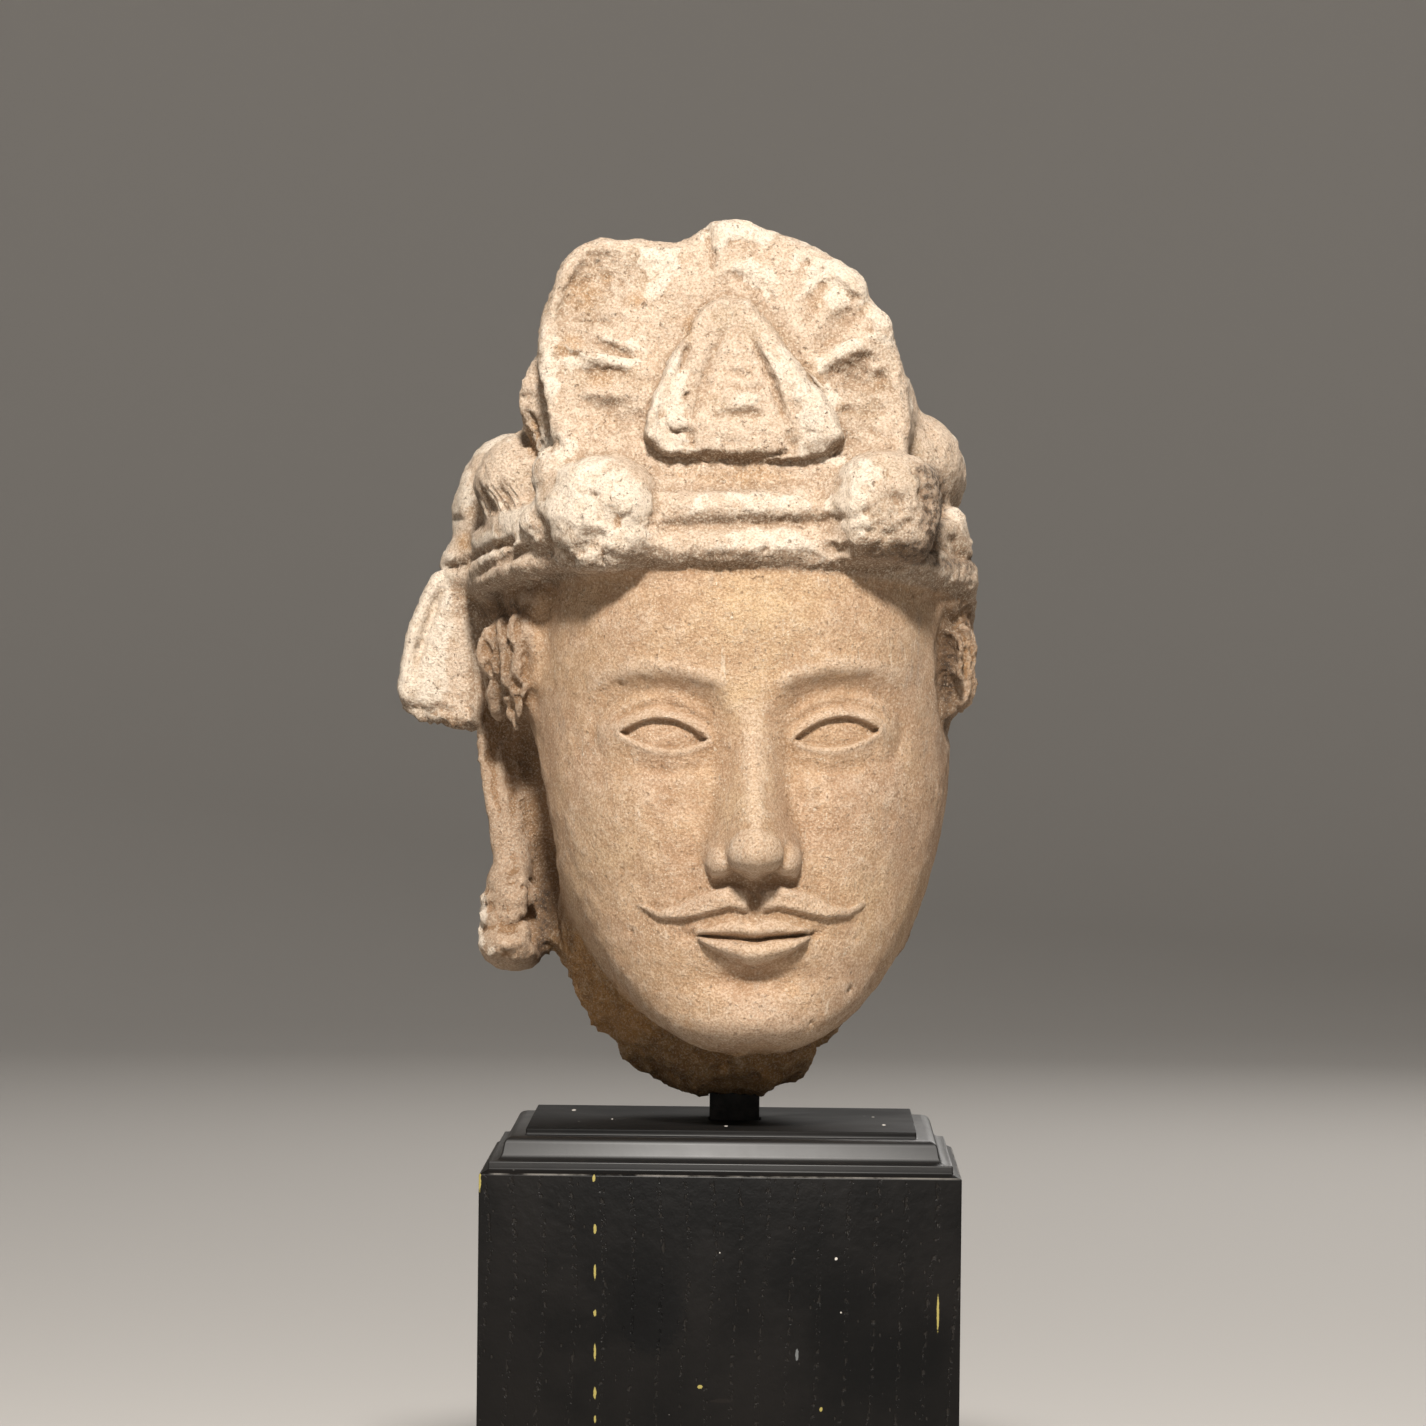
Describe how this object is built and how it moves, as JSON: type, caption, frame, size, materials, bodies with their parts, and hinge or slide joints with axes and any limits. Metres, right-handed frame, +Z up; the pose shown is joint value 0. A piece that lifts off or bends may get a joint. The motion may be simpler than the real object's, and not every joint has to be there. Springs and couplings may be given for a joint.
{
  "type": "carved stucco head of a turbaned figure on a plinth",
  "caption": "Carved stucco head in a jewelled turban, broken at the neck and held by a short square rod on a black moulded wooden plinth.",
  "frame": {"origin": "middle of the plinth's underside", "axes": "+Z up, from the plinth to the top of the turban; the face looks along -Y, and +X is to the right of someone who faces it"},
  "size_m": [0.1493, 0.1421, 0.3485],
  "materials": {
    "head": "weathered lime stucco, matte, tan on the face and chalky white on the turban",
    "mounting_rod": "black, satin",
    "plinth": "black paint, satin, worn at the edges"
  },
  "bodies": {
    "root": {"head": "head", "mounting_rod": "mounting_rod", "plinth": "plinth"}
  },
  "joints": []
}
